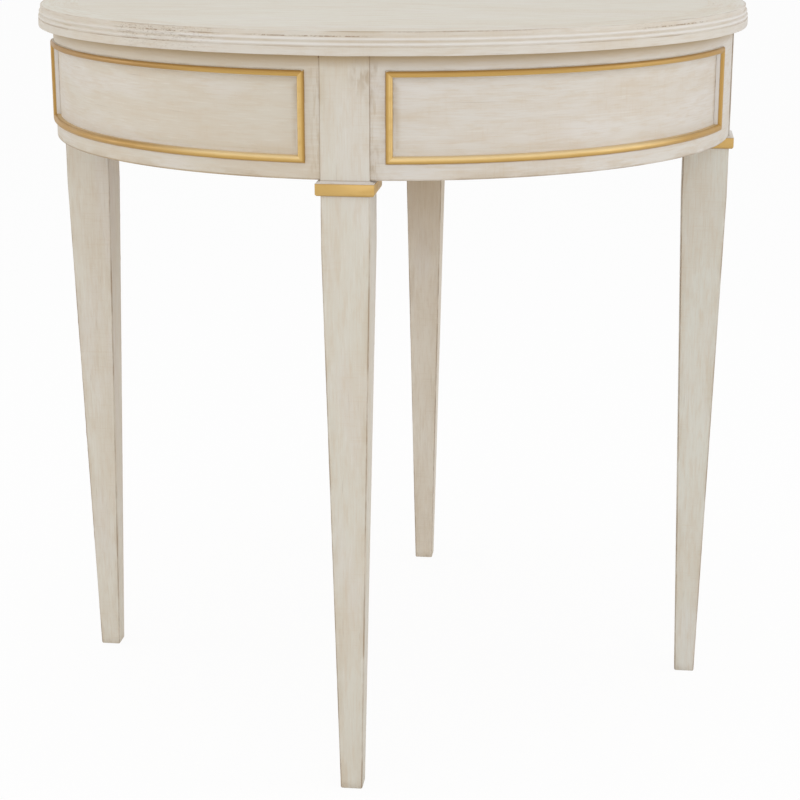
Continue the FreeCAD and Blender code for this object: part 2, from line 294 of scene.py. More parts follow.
lamps = [
    soft_lamp("front left softbox", turn=-28, lift=30, power=5.5, size=2.0),
    soft_lamp("front right softbox", turn=36, lift=30, power=5.5, size=2.0),
    soft_lamp("low front softbox", turn=6, lift=8, power=13, distance=3.4),
    soft_lamp("side left softbox", turn=-85, lift=10, power=16),
    soft_lamp("side right softbox", turn=88, lift=10, power=18),
    soft_lamp("overhead softbox", turn=0, lift=86, power=10, size=2.0, distance=2.6),
]
print(len(lamps), "soft lamps")

# %% [markdown]
# ## Sizes of the table
#
# The new pieces and the finishes follow the CAD model, so most sizes are read from the boxes of its
# pieces. A rail's outer corner stands beside a leg's block, which gives the apron's radius.

# %% Sizes of the table
LEGS = ("front", "right", "rear", "left")
QUARTERS = ("rear_right", "rear_left", "front_left", "front_right")
RAIL_THICKNESS = 0.024
COLLAR_HEIGHT = 0.014

top_low, top_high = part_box("top_edge_front_right")
TOP_HEIGHT = top_high.z
TOP_UNDERSIDE = top_low.z
TOP_RADIUS = top_high.x
LIPPING_WIDTH = TOP_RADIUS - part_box("top_panel")[1].x
leg_low, leg_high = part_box("leg_front")
LEG_WIDTH = leg_high.x - leg_low.x
LEG_DEPTH = leg_high.y - leg_low.y
LEG_AXIS = -(leg_low.y + leg_high.y) / 2
rail_low, rail_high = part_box("apron_front_right")
APRON_BOTTOM = rail_low.z
APRON_RADIUS = math.hypot(rail_high.x, LEG_WIDTH / 2)
APRON_INSIDE = APRON_RADIUS - RAIL_THICKNESS
collar_low, collar_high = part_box("collar_front")
COLLAR_BOTTOM = collar_low.z
COLLAR_TOP = COLLAR_BOTTOM + COLLAR_HEIGHT
COLLAR_PROJECTION = collar_high.x - LEG_WIDTH / 2
print("top", round(TOP_HEIGHT, 4), "apron", round(APRON_BOTTOM, 4), "to", round(TOP_UNDERSIDE, 4))

# %% [markdown]
# ## Modelling helpers
#
# The edit-mode tools act on whatever is selected. Here the selection is made by place: a test is asked
# of every vertex, edge or face, and those that pass are selected.

# %% Selecting by place
TOUCH = 1e-5


def only(piece):
    bpy.ops.object.select_all(action="DESELECT")
    piece.select_set(True)
    bpy.context.view_layer.objects.active = piece


def pick(kind, test):
    """Selects the vertices, edges or faces of the mesh in edit mode that pass a test."""
    mesh = bpy.context.object.data
    bpy.ops.mesh.select_mode(type=kind)
    bpy.ops.mesh.select_all(action="DESELECT")
    edited = bmesh.from_edit_mesh(mesh)
    for part in {"VERT": edited.verts, "EDGE": edited.edges, "FACE": edited.faces}[kind]:
        part.select_set(test(part))
    edited.select_flush_mode()
    bmesh.update_edit_mesh(mesh)


def middle(edge):
    return (edge.verts[0].co + edge.verts[1].co) / 2


def rise(edge):
    return abs(edge.verts[0].co.z - edge.verts[1].co.z)


def same(first, second):
    return abs(first - second) < TOUCH


print("selection helpers ready")

# %% [markdown]
# Round pieces start as an upright section that is spun through a quarter turn. Pieces that come four
# times are copied round the table, and a cloud texture makes the copies uneven.

# %% Spinning, copying and roughening
SPIN_STEPS = 72


def settle():
    """Puts a piece's place, turn and scale into its mesh."""
    bpy.ops.object.transform_apply(location=True, rotation=True, scale=True)


def smooth(degrees):
    bpy.ops.object.shade_smooth_by_angle(angle=math.radians(degrees))


def stand_block(width, depth, bottom, top):
    """A block on the axis of the front leg, in edit mode."""
    bpy.ops.object.select_all(action="DESELECT")
    bpy.ops.mesh.primitive_cube_add(
        size=1, location=(0, -LEG_AXIS, (bottom + top) / 2), scale=(width, depth, top - bottom)
    )
    settle()
    bpy.ops.object.mode_set(mode="EDIT")
    return bpy.context.object


def stand_section(inside, outside, bottom, top):
    """A plane in edit mode that stands upright on +X, to be spun round the table's axis."""
    bpy.ops.object.select_all(action="DESELECT")
    bpy.ops.mesh.primitive_plane_add(
        size=1, location=((inside + outside) / 2, 0, (bottom + top) / 2), rotation=(math.radians(90), 0, 0)
    )
    section = bpy.context.object
    section.scale = (outside - inside, top - bottom, 1)
    settle()
    bpy.ops.object.mode_set(mode="EDIT")
    return section


def cut(point, normal, **options):
    """Cuts the whole mesh in edit mode with a plane."""
    bpy.ops.mesh.select_all(action="SELECT")
    bpy.ops.mesh.bisect(plane_co=point, plane_no=normal, **options)


def close_up():
    """Turns all faces outwards and leaves edit mode."""
    bpy.ops.mesh.select_all(action="SELECT")
    bpy.ops.mesh.normals_make_consistent(inside=False)
    bpy.ops.object.mode_set(mode="OBJECT")


def turn_quarters(piece, number):
    """Turns a piece round the table's axis by a number of quarters."""
    piece.rotation_euler = (0, 0, math.radians(90 * number))
    settle()


def spin_quarter(section):
    """Spins a section, merges its doubled points and sets it between +X and +Y."""
    bpy.ops.mesh.select_all(action="SELECT")
    bpy.ops.mesh.spin(steps=SPIN_STEPS, angle=math.radians(90), center=(0, 0, 0), axis=(0, 0, 1))
    bpy.ops.mesh.select_all(action="SELECT")
    bpy.ops.mesh.remove_doubles(threshold=TOUCH)
    close_up()
    turn_quarters(section, 1)


def set_round(model, name, places):
    """Copies a piece to the other three quarters, each copy with its own mesh."""
    pieces = [model]
    for number in range(1, len(places)):
        only(model)
        bpy.ops.object.duplicate(linked=False)
        pieces.append(bpy.context.object)
        turn_quarters(pieces[-1], number)
    for spot, piece in zip(places, pieces):
        piece.name = name + "_" + spot
        piece.data.name = piece.name
    return pieces


def new_clouds(name, scale, depth):
    clouds = bpy.data.textures.new(name, "CLOUDS")
    clouds.noise_scale = scale
    clouds.noise_depth = depth
    return clouds


def roughen(piece, clouds, group, strength, mid_level):
    """Moves the points of a vertex group in or out by a cloud texture."""
    only(piece)
    push = piece.modifiers.new("push", "DISPLACE")
    push.texture = clouds
    push.texture_coords = "GLOBAL"
    push.vertex_group = group
    push.strength = strength
    push.mid_level = mid_level
    bpy.ops.object.modifier_apply(modifier=push.name)


print("modelling helpers ready")

# %% [markdown]
# ## Legs
#
# Each leg is one square stick: a block that stands in the line of the apron, a short neck as wide as
# the block, and a taper to a small, crisp foot. It could be lofted from sections, but a joiner saws the
# taper from a straight stick, and the model does the same: a block at full size is cut across at the
# neck and just above the floor, and the cuts at the foot are made narrower.

# %% Leg shape
NECK_LENGTH = 0.0664
NECK_BOTTOM = APRON_BOTTOM - NECK_LENGTH
FOOT_WIDTH = 0.022
FOOT_EASE = 0.0012
FOOT_INSET = 0.0006

leg = stand_block(LEG_WIDTH, LEG_DEPTH, 0, TOP_UNDERSIDE)
for level in (NECK_BOTTOM, FOOT_EASE):
    cut((0, 0, level), (0, 0, 1))
for level, width in ((FOOT_EASE, FOOT_WIDTH), (0, FOOT_WIDTH - 2 * FOOT_INSET)):
    pick("VERT", lambda vert: same(vert.co.z, level))
    bpy.ops.transform.resize(
        value=(width / LEG_WIDTH, width / LEG_DEPTH, 1), center_override=(0, -LEG_AXIS, level)
    )
print("leg with", len(bmesh.from_edit_mesh(leg.data).verts), "corners")

# %% [markdown]
# The long arrises of a painted leg are never sharp: they were rounded with a plane, and knocks have
# dented them since. The upright edges are bevelled and then cut into short lengths that can be dented.

# %% Leg arrises
LEG_ARRIS = 0.0013
SHORT_RISE = 0.001
LONG_RISE = 0.05
TAPER_CUTS = 100
BLOCK_CUTS = 32

pick("EDGE", lambda edge: rise(edge) > SHORT_RISE)
bpy.ops.mesh.bevel(offset=LEG_ARRIS, segments=3, affect="EDGES")
for cuts, is_taper in ((TAPER_CUTS, True), (BLOCK_CUTS, False)):
    pick("EDGE", lambda edge: rise(edge) > LONG_RISE and (middle(edge).z < NECK_BOTTOM) == is_taper)
    bpy.ops.mesh.subdivide(number_cuts=cuts)
print("leg with", len(bmesh.from_edit_mesh(leg.data).verts), "corners after the cuts")

# %% [markdown]
# Between the rails the block's arrises are much sharper, and only a thin joint line shows there. The
# rounded rows of the block are drawn together towards each corner. The collar hides the change.

# %% Sharper arrises on the block
BLOCK_ARRIS_SHARE = 0.35
CHANGE_LEVEL = COLLAR_BOTTOM + 0.004
CORNER_REACH = 0.003


def at_corner(vert):
    return vert.co.z > CHANGE_LEVEL and (vert.co.xy - corner).length < CORNER_REACH


for x in (-LEG_WIDTH / 2, LEG_WIDTH / 2):
    for y in (-LEG_AXIS - LEG_DEPTH / 2, -LEG_AXIS + LEG_DEPTH / 2):
        corner = Vector((x, y))
        pick("VERT", at_corner)
        bpy.ops.transform.resize(
            value=(BLOCK_ARRIS_SHARE, BLOCK_ARRIS_SHARE, 1), center_override=(x, y, APRON_BOTTOM)
        )
bpy.ops.object.mode_set(mode="OBJECT")
print("block arris", round(LEG_ARRIS * BLOCK_ARRIS_SHARE * 1000, 2), "mm")

# %% [markdown]
# The dents come from a Displace modifier with a cloud texture. It works only on the two middle rows of
# each rounded arris, which a vertex group marks, and it runs on the four copies in place, so that no
# two legs are dented alike.

# %% Four worn legs
ROW_DEPTH = 0.0001
DENT_SIZE = 0.010
DENT_DEPTH = 0.0014
DENT_MIDDLE = 0.60


def leg_half(height, top_width):
    """Half of the leg's width or depth at a height."""
    share = min(max((height - FOOT_EASE) / (NECK_BOTTOM - FOOT_EASE), 0), 1)
    return (FOOT_WIDTH + (top_width - FOOT_WIDTH) * share) / 2


arris = leg.vertex_groups.new(name="arris")
for vert in leg.data.vertices:
    to_side = leg_half(vert.co.z, LEG_WIDTH) - abs(vert.co.x)
    to_face = leg_half(vert.co.z, LEG_DEPTH) - abs(vert.co.y + LEG_AXIS)
    if min(to_side, to_face) > ROW_DEPTH and FOOT_EASE < vert.co.z < COLLAR_BOTTOM:
        arris.add([vert.index], 1.0, "REPLACE")

dents = new_clouds("arris dents", DENT_SIZE, 3)
legs = set_round(leg, "worn_leg", LEGS)
for piece in legs:
    roughen(piece, dents, "arris", DENT_DEPTH, DENT_MIDDLE)
    smooth(38)
    flat = piece.modifiers.new("flat faces", "WEIGHTED_NORMAL")
    flat.weight = 100
    flat.keep_sharp = True
    bpy.ops.object.modifier_apply(modifier=flat.name)
    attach(piece, "root")
    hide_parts(piece.name.replace("worn_", ""))
print(len(legs), "legs,", len(leg.data.vertices), "corners each")

# %% [markdown]
# ## Collars
#
# A gilded collar goes round each leg just below the apron. Its top slopes back to the leg and is
# painted like the table, its face is upright, and its lower edge is well rounded. A block is the
# start: its top is extruded up and drawn in to the leg, its underside is inset, and the two inner faces
# are bridged, which opens the hole that the leg passes through.

# %% Collar shape
COLLAR_SLOPE = 0.0022
COLLAR_WIDTH = LEG_WIDTH + 2 * COLLAR_PROJECTION
COLLAR_DEPTH = LEG_DEPTH + 2 * COLLAR_PROJECTION
SHOULDER = COLLAR_TOP - COLLAR_SLOPE
LEVEL_FACE = 0.9

collar = stand_block(COLLAR_WIDTH, COLLAR_DEPTH, COLLAR_BOTTOM, SHOULDER)
pick("FACE", lambda face: face.normal.z > LEVEL_FACE)
bpy.ops.mesh.extrude_region_move(TRANSFORM_OT_translate={"value": (0, 0, COLLAR_SLOPE)})
bpy.ops.transform.resize(
    value=(LEG_WIDTH / COLLAR_WIDTH, LEG_DEPTH / COLLAR_DEPTH, 1),
    center_override=(0, -LEG_AXIS, COLLAR_TOP),
)
pick("FACE", lambda face: face.normal.z < -LEVEL_FACE)
bpy.ops.mesh.inset(thickness=COLLAR_PROJECTION)
leg_area = 0.9 * LEG_WIDTH * LEG_DEPTH
pick("FACE", lambda face: abs(face.normal.z) > LEVEL_FACE and face.calc_area() > leg_area)
bpy.ops.mesh.bridge_edge_loops()
print("collar with", len(bmesh.from_edit_mesh(collar.data).faces), "faces")

# %% [markdown]
# The lower edge gets a wide bevel with many segments, the corners and the shoulder a very small one,
# as sanding before the gilding leaves them.

# %% Collar edges
COLLAR_ROUND = 0.0028
CORNER_ARRIS = 0.0006
SHOULDER_ARRIS = 0.0004


def outside(vert):
    across = same(abs(vert.co.x), COLLAR_WIDTH / 2)
    along = same(abs(vert.co.y + LEG_AXIS), COLLAR_DEPTH / 2)
    return across or along


pick("EDGE", lambda edge: all(outside(v) and same(v.co.z, COLLAR_BOTTOM) for v in edge.verts))
bpy.ops.mesh.bevel(offset=COLLAR_ROUND, segments=5, affect="EDGES")
pick("EDGE", lambda edge: all(outside(v) for v in edge.verts) and rise(edge) > COLLAR_ROUND)
bpy.ops.mesh.bevel(offset=CORNER_ARRIS, segments=2, affect="EDGES")
pick("EDGE", lambda edge: all(same(v.co.z, SHOULDER) for v in edge.verts))
bpy.ops.mesh.bevel(offset=SHOULDER_ARRIS, segments=2, affect="EDGES")
close_up()
collars = set_round(collar, "gilt_collar", LEGS)
for piece in collars:
    only(piece)
    smooth(30)
    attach(piece, "root")
    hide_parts(piece.name.replace("gilt_", ""))
print(len(collars), "collars,", len(collar.data.vertices), "corners each")

# %% [markdown]
# ## Moulded edge of the top
#
# The edge of the top is a moulding cut on a lipping: a fillet, two reeds and a fascia. Coats of paint
# have filled its quirks and rounded its arrises. The section could be swept along a curve, but a section
# spun round the table's axis is what a shaper cutter leaves. A plane at the size of the lipping is cut
# across at many heights, the points of its outer edge are moved to the section, and it is spun.

# %% Section of the moulded edge
FASCIA_HEIGHT = 0.0083
REED_HEIGHT = 0.0046
REED_BULGE = 0.0015
REED_STEP = 0.0008
FILLET_SETBACK = 0.0025
EDGE_ARRIS = 0.0008
FASCIA_QUIRK = TOP_UNDERSIDE + FASCIA_HEIGHT
REED_QUIRK = FASCIA_QUIRK + REED_HEIGHT
FILLET_QUIRK = REED_QUIRK + REED_HEIGHT
COAT_STEP = 0.0002
COAT_STEPS = 3
LEVEL_COUNT = 48


def rounded(depth):
    """How far a quarter-round arris falls back, at a depth beyond its start."""
    depth = min(max(depth, 0), EDGE_ARRIS)
    return EDGE_ARRIS - math.sqrt(EDGE_ARRIS**2 - depth**2)


def reed_fall(height):
    """How far a reed falls back from its crown, at a height above its lower quirk."""
    return REED_BULGE * (1 - math.sin(math.pi * height / REED_HEIGHT))


def cut_reach(height):
    """How far out the cutter left the edge at a height."""
    if height < FASCIA_QUIRK:
        return TOP_RADIUS - rounded(TOP_UNDERSIDE + EDGE_ARRIS - height)
    if height < REED_QUIRK:
        return TOP_RADIUS - reed_fall(height - FASCIA_QUIRK)
    if height < FILLET_QUIRK:
        return TOP_RADIUS - REED_STEP - reed_fall(height - REED_QUIRK)
    return TOP_RADIUS - FILLET_SETBACK - rounded(height - TOP_HEIGHT + EDGE_ARRIS)


def painted_reach(height):
    """The same edge under coats of paint, which even out what is narrower than the coat is thick."""
    spread = [height + COAT_STEP * step for step in range(-COAT_STEPS, COAT_STEPS + 1)]
    spread = [cut_reach(min(max(level, TOP_UNDERSIDE), TOP_HEIGHT)) for level in spread]
    return sum(spread) / len(spread)


edge = stand_section(TOP_RADIUS - LIPPING_WIDTH, TOP_RADIUS, TOP_UNDERSIDE, TOP_HEIGHT)
levels = [TOP_UNDERSIDE + (TOP_HEIGHT - TOP_UNDERSIDE) * n / LEVEL_COUNT for n in range(LEVEL_COUNT + 1)]
for level in levels[1:-1]:
    cut((0, 0, level), (0, 0, 1))
for level in levels:
    pick("VERT", lambda vert: same(vert.co.z, level) and vert.co.x > TOP_RADIUS - LIPPING_WIDTH / 2)
    bpy.ops.transform.translate(value=(painted_reach(level) - TOP_RADIUS, 0, 0))
print("section with", len(bmesh.from_edit_mesh(edge.data).verts), "points")

# %% [markdown]
# A faint Displace along the outer side gives the slight waver of a hand-finished moulding. It only takes
# away, so the edge stays within its size, and it dies out towards the ends, so that the butt joints
# stay closed.

# %% Four lengths of moulded edge
MOULDING_DEPTH = 0.006
WAVER_END = 0.02
WAVER_SIZE = 0.035
WAVER_DEPTH = 0.0006

spin_quarter(edge)
outer_side = edge.vertex_groups.new(name="outer side")
for vert in edge.data.vertices:
    if vert.co.xy.length > TOP_RADIUS - MOULDING_DEPTH:
        from_end = min(vert.co.x, vert.co.y)
        outer_side.add([vert.index], min(from_end / WAVER_END, 1.0), "REPLACE")

waver = new_clouds("hand waver", WAVER_SIZE, 2)
edges = set_round(edge, "moulded_top_edge", QUARTERS)
for piece in edges:
    roughen(piece, waver, "outer side", WAVER_DEPTH, 1.0)
    smooth(40)
    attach(piece, "root")
    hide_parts(piece.name.replace("moulded_", ""))
print(len(edges), "lengths of edge,", len(edge.data.polygons), "faces each")

# %% [markdown]
# ## Rails with sunk fields
#
# Each curved rail is sunk a little inside its bead frame, which leaves a narrow gilded ledge above the
# lower strip. A shaper could cut the field on the curve, and the model cuts it the same way: a section
# is spun through a quarter turn and sawn square against the legs, the faces inside the frame are picked
# by their height and angle, and they are extruded and drawn in towards the axis.

# %% Rails with sunk fields
RAIL_ARRIS = 0.0012
FIELD_DEPTH = 0.0045
FACE_DEPTH = 0.001
FRAME_FROM_LEG = 0.0176
FRAME_FROM_FAR_LEG = 0.078


def length_from(leg_gap):
    """The length along the curve from a leg's middle to a place beside its block."""
    return APRON_RADIUS * math.asin((LEG_WIDTH / 2 + leg_gap) / APRON_RADIUS)


bead_low, bead_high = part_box("bead_front_right_lower")
BEAD_HALF = (bead_high.z - bead_low.z) / 2
BEAD_LOW = bead_low.z + BEAD_HALF
BEAD_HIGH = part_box("bead_front_right_upper")[1].z - BEAD_HALF
BEAD_FIRST = length_from(FRAME_FROM_LEG)
BEAD_LAST = APRON_RADIUS * math.pi / 2 - length_from(FRAME_FROM_FAR_LEG)
FIELD_LOW = BEAD_LOW + BEAD_HALF
FIELD_HIGH = BEAD_HIGH - BEAD_HALF
FIELD_FIRST = (BEAD_FIRST + BEAD_HALF) / APRON_RADIUS
FIELD_LAST = (BEAD_LAST - BEAD_HALF) / APRON_RADIUS


def sunk_rail(first, last):
    """A rail between +X and +Y; its field lies between two angles from +Y."""
    rail = stand_section(APRON_INSIDE, APRON_RADIUS, APRON_BOTTOM, TOP_UNDERSIDE)
    pick("VERT", lambda vert: same(vert.co.z, APRON_BOTTOM))
    bpy.ops.mesh.bevel(offset=RAIL_ARRIS, segments=3, affect="VERTICES")
    for level in (FIELD_LOW, FIELD_HIGH):
        cut((0, 0, level), (0, 0, 1))
    spin_quarter(rail)
    bpy.ops.object.mode_set(mode="EDIT")
    for normal in ((1, 0, 0), (0, 1, 0)):
        cut((LEG_WIDTH / 2, LEG_WIDTH / 2, 0), normal, clear_inner=True, use_fill=True)
    for turn in (first, last):
        cut((0, 0, 0), (math.cos(turn), -math.sin(turn), 0))

    def in_field(face):
        centre = face.calc_center_median()
        on_face = centre.xy.length > APRON_RADIUS - FACE_DEPTH and FIELD_LOW < centre.z < FIELD_HIGH
        return on_face and first < math.atan2(centre.x, centre.y) < last

    pick("FACE", in_field)
    bpy.ops.mesh.extrude_region_move(TRANSFORM_OT_translate={"value": (0, 0, 0)})
    share = 1 - FIELD_DEPTH / APRON_RADIUS
    bpy.ops.transform.resize(value=(share, share, 1), center_override=(0, 0, 0))
    close_up()
    return rail


rails = []
for number, quarter in enumerate(QUARTERS):
    if number % 2:
        rail = sunk_rail(math.pi / 2 - FIELD_LAST, math.pi / 2 - FIELD_FIRST)
    else:
        rail = sunk_rail(FIELD_FIRST, FIELD_LAST)
    turn_quarters(rail, number)
    smooth(30)
    rail.name = "sunk_rail_" + quarter
    rail.data.name = rail.name
    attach(rail, "root")
    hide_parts("apron_" + quarter)
    rails.append(rail)
print(len(rails), "rails,", len(rails[0].data.polygons), "faces each")

# %% [markdown]
# ## Bare wood
#
# The inside of the apron, the underside of the top, the glue blocks and the buttons were left as they
# came from the plane. The graph takes a vector whose X runs along the grain: a noise stretched far
# along X gives the broad bands of a pale, close-grained wood, and a finer one the pores.

# %% Bare wood
WOOD_LIGHT = (0.56, 0.40, 0.25, 1)
WOOD_DARK = (0.42, 0.28, 0.16, 1)
WOOD_PORE = (0.27, 0.16, 0.08, 1)


def wood_colour(grain):
    bands = noise(grain, (0.07, 1, 1), 70, 4, 0.6)
    pores = noise(grain, (0.03, 1, 1), 1100, 2)
    colour = blend(fade(bands, 0.34, 0.66), WOOD_LIGHT, WOOD_DARK)
    return blend(fade(pores, 0.56, 0.74, 0, 0.5), colour, WOOD_PORE)


bare, shader, x, y, z = new_finish("planed bare wood")
feed(shader.inputs["Base Color"], wood_colour(vector(z, x, y)))
shader.inputs["Roughness"].default_value = 0.62
print("bare wood made")

# %% [markdown]
# ## Brushed paint
#
# The table is painted a warm off-white with a brush. The coat is even, with faint tan and paler
# streaks along the strokes, fainter ones across them where the brush was turned, and a rare thin
# scratch. A thin glaze was wiped over it: where little is left it is a tan wash, and in corners and
# along arrises it stayed as brown lines. The same tan and brown also serve as painted shade, and the
# white as painted highlights, where the masks say so. The graph takes a vector whose X runs along the
# strokes, and masks of where the tan wash and painted shade, the brown glaze and darker painted shade,
# white paint and painted highlights, and bare wood show.

# %% Brushed paint
PAINT_TAN = (0.590, 0.490, 0.370, 1)
PAINT_PALE = (0.745, 0.705, 0.640, 1)
PAINT_LILAC = (0.690, 0.650, 0.615, 1)
PAINT_WHITE = (0.800, 0.785, 0.765, 1)
WASH_AND_SHADE = (0.425, 0.310, 0.172, 1)
GLAZE_AND_SHADE = (0.235, 0.140, 0.070, 1)
RELIEF_STRENGTH = 0.25


def lay_over(colour, *layers):
    """Lays colours over a first one; each layer is a share and a colour."""
    for share, layer in layers:
        colour = blend(share, colour, layer)
    return colour


def relief(shader, height, depth):
    bump = add(height.tree, "Bump")
    bump.inputs["Strength"].default_value = RELIEF_STRENGTH
    bump.inputs["Distance"].default_value = depth
    feed(bump.inputs["Height"], height)
    feed(shader.inputs["Normal"], Value(bump.outputs[0]))


def brushed_paint(shader, strokes, tone, shade_and_wash=0.0, glaze=0.0, pale=0.0, bare_share=0.0, uneven=1.0):
    """Joins the paint's colour, gloss and relief to a shader; strokes is a vector in metres."""
    cloud = noise(strokes, (0.30, 1, 1), 26, 4, 0.6)
    drift = noise(strokes, (0.25, 1, 1), 22)
    mottle = noise(strokes, (0.20, 1, 1), 170, 5, 0.65)
    streak = noise(strokes, (0.06, 1, 1), 560, 4, 0.6)
    across = noise(strokes, (1, 0.06, 1), 620, 3, 0.6)
    hair = noise(strokes, (0.025, 1, 1), 1500, 2)
    scratch = noise(strokes, (0.016, 1, 1), 900, 2)
    colour = lay_over(
        tone,
        (fade(cloud, 0.40, 0.66, 0, 0.46 * uneven), PAINT_TAN),
        (fade(drift, 0.48, 0.64, 0, 0.42 * uneven), PAINT_LILAC),
        (fade(mottle, 0.48, 0.70, 0, 0.50 * uneven), PAINT_TAN),
        (fade(streak, 0.48, 0.74, 0, 0.42), PAINT_TAN),
        (fade(streak, 0.26, 0.46, 0.32, 0), PAINT_PALE),
        (fade(across, 0.50, 0.72) * fade(cloud, 0.44, 0.60, 0, 0.30), PAINT_TAN),
        (fade(hair, 0.56, 0.74, 0, 0.32), PAINT_TAN),
        (fade(scratch, 0.70, 0.78, 0, 0.40), GLAZE_AND_SHADE),
        # Tan wash and painted shade, brown glaze and darker painted shade, then paler paint and painted
        # highlights.
        (shade_and_wash, WASH_AND_SHADE),
        (glaze, GLAZE_AND_SHADE),
        (pale, PAINT_WHITE),
    )
    if bare_share:
        colour = blend(bare_share, colour, wood_colour(strokes))
    feed(shader.inputs["Base Color"], colour)
    feed(shader.inputs["Roughness"], fade(streak, 0.3, 0.7, 0.46, 0.58))
    shader.inputs["Specular IOR Level"].default_value = 0.35
    relief(shader, streak * 0.7 + hair * 0.3, 0.0003)


print("brushed paint ready")

# %% [markdown]
# ## Paint on the rails
#
# On the rails the strokes run along the curve. Where the glaze stayed is told by distances: to the leg
# blocks, to the lower arris, to the top and to the bead frame. The distance to the frame is worked out
# on the unrolled rail, as a rectangle in the length along the curve and the height.

# %% Places on a rail
def reach(x, y):
    """The distance from the table's axis."""
    return maths("SQRT", x * x + y * y)


def round_grain(x, y, z, radius):
    """A vector whose X runs round the table, along the curve of the apron or the top's edge."""
    return vector(maths("ARCTAN2", y, x) * radius, z, reach(x, y))


def from_frame(x, y, z):
    """How far a point is outside the bead frame's middle line, and how far beyond its mitres."""
    along = maths("ARCTAN2", abs(x), abs(y)) * APRON_RADIUS - (BEAD_FIRST + BEAD_LAST) / 2
    across = abs(along) - (BEAD_LAST - BEAD_FIRST) / 2
    upward = abs(z - (BEAD_LOW + BEAD_HIGH) / 2) - (BEAD_HIGH - BEAD_LOW) / 2
    inside = least(most(across, upward), 0.0)
    beyond = reach(most(across, 0.0), most(upward, 0.0))
    return inside + beyond, upward - across


rail_paint, shader, x, y, z = new_finish("brushed rail paint")
strokes = round_grain(x, y, z, APRON_RADIUS)
patches = noise(strokes, (0.35, 1, 1), 60, 5, 0.65)
out = reach(x, y)
lower = z - APRON_BOTTOM
to_leg = least(abs(x), abs(y)) - LEG_WIDTH / 2
side, mitre = from_frame(x, y, z)
gap = abs(side) - BEAD_HALF
print("bead frame from", round(BEAD_FIRST, 4), "to", round(BEAD_LAST, 4), "m along the rail")

# %% [markdown]
# The glaze stayed as a line in the joints beside the leg blocks and along the lower arris, with a stain
# beside each. Right below the top a tan band is painted as the shadow of the top's overhang, with some
# glaze in the corner. Noises break the lines up. Just below the top, left of the front leg, a small dark
# spot is painted as the shade inside an open joint, and to the right of that leg the rag left soft
# smudges.

# %% Glaze on the rails
JOINT_LINE = (0.0002, 0.0007)
JOINT_STAIN = (0.001, 0.016)
ARRIS_LINE = (0.0005, 0.0020)
ARRIS_WASH = (0.0008, 0.0026)
LOW_WASH = (0.001, 0.010)
OVERHANG_SHADE = (0.0, 0.015)
OPEN_HEIGHT = (0.0030, 0.0038)
OPEN_WIDTH = (0.0008, 0.0014)
RAIL_SMUDGE = (0.002, 0.015)
SMUDGE_GLAZE = 0.4
FRONT_LEG = (-0.25, -0.2)


def broken(line, patches, start, end, low=0.0):
    """A line or patch of glaze that a noise breaks up."""
    return line * fade(patches, start, end, low, 1.0)


def smudges(line, strokes, stretch):
    return broken(line, noise(strokes, stretch, 230, 2), 0.40, 0.72, 0.20)


def front_right(x, y, soft):
    """One to the right of the middle of the front leg."""
    return fade(x, 0.0, soft) * near(y, FRONT_LEG)


# Painted shade: the shadow of the top's overhang, mixed with a little tan glaze.
def overhang_shade_and_wash(z):
    """Painted shadow of the top's overhang right below it, with some glaze in the corner."""
    return near(TOP_UNDERSIDE - z, OVERHANG_SHADE, 0.96)


at_arris = fade(out, APRON_RADIUS - 0.004, APRON_RADIUS - 0.0015)
joint = broken(near(to_leg, JOINT_LINE, 0.60), patches, 0.36, 0.58, 0.35)
upright = noise(strokes, (1, 0.12, 1), 320, 4, 0.6)
by_joint = broken(near(to_leg, JOINT_STAIN, 0.42), upright, 0.46, 0.66)
lower_line = broken(near(lower, ARRIS_LINE, 0.50), patches, 0.38, 0.56, 0.1) * at_arris
low_wash = broken(near(lower, LOW_WASH, 0.35), patches, 0.44, 0.62)
arris_wash = near(lower, ARRIS_WASH, 0.75) * fade(x, -0.12, 0.0, 1.0, 0.25) * at_arris
# A small dark spot of painted shade where the joint is open.
at_left_joint = near(x, (-0.002, 0.0)) * near(y, (-0.002, 0.0))
open_joint_shade = near(TOP_UNDERSIDE - z, OPEN_HEIGHT) * near(to_leg, OPEN_WIDTH) * at_left_joint
high_and_low = most(
    fade(z, TOP_UNDERSIDE - 0.055, TOP_UNDERSIDE - 0.030, 0.0, 0.8),
    near(z, (APRON_BOTTOM + 0.020, APRON_BOTTOM + 0.042)),
)
smudged = smudges(near(to_leg, RAIL_SMUDGE, 0.60), strokes, (1, 0.35, 1))
smudged = smudged * front_right(x, y, 0.01) * high_and_low
print("glaze in joints and along arrises")

# %% [markdown]
# A thin line of glaze follows the bead frame, with a soft halo beside it that is partly glaze and
# partly painted shade cast by the bead, stronger beside the uprights and in the upper part of the
# field. Low in the field a pale line runs beside the bead instead, and the walls of the field stayed
# pale. The rails on the left are painted a little darker and warmer than those on the right. The inner
# face of a rail is bare wood.

# %% Paint on the rails
PAINT_RAIL = (0.626, 0.571, 0.480, 1)
PAINT_RIGHT_RAIL = (0.655, 0.614, 0.556, 1)
BEAD_LINE = (0.0002, 0.0008)
BEAD_HALO = (0.0, 0.009)
PALE_LINE = (0.0006, 0.0030)
INNER_FACE = (0.0004, 0.0010)
FIELD_FLOOR = APRON_RADIUS - FIELD_DEPTH
WALL_END = 0.0003

within = near(side, (-0.001, 0.001))
off_floor = fade(out, FIELD_FLOOR + WALL_END, FIELD_FLOOR + 2 * WALL_END)
on_wall = within * off_floor * near(out, (APRON_RADIUS - 2 * WALL_END, APRON_RADIUS - WALL_END))
off_wall = 1 - on_wall
upper_field = fade(z, FIELD_LOW + 0.01, FIELD_HIGH - 0.02)
beside = broken(near(gap, BEAD_LINE, 0.40), patches, 0.44, 0.60, 0.05) * off_wall
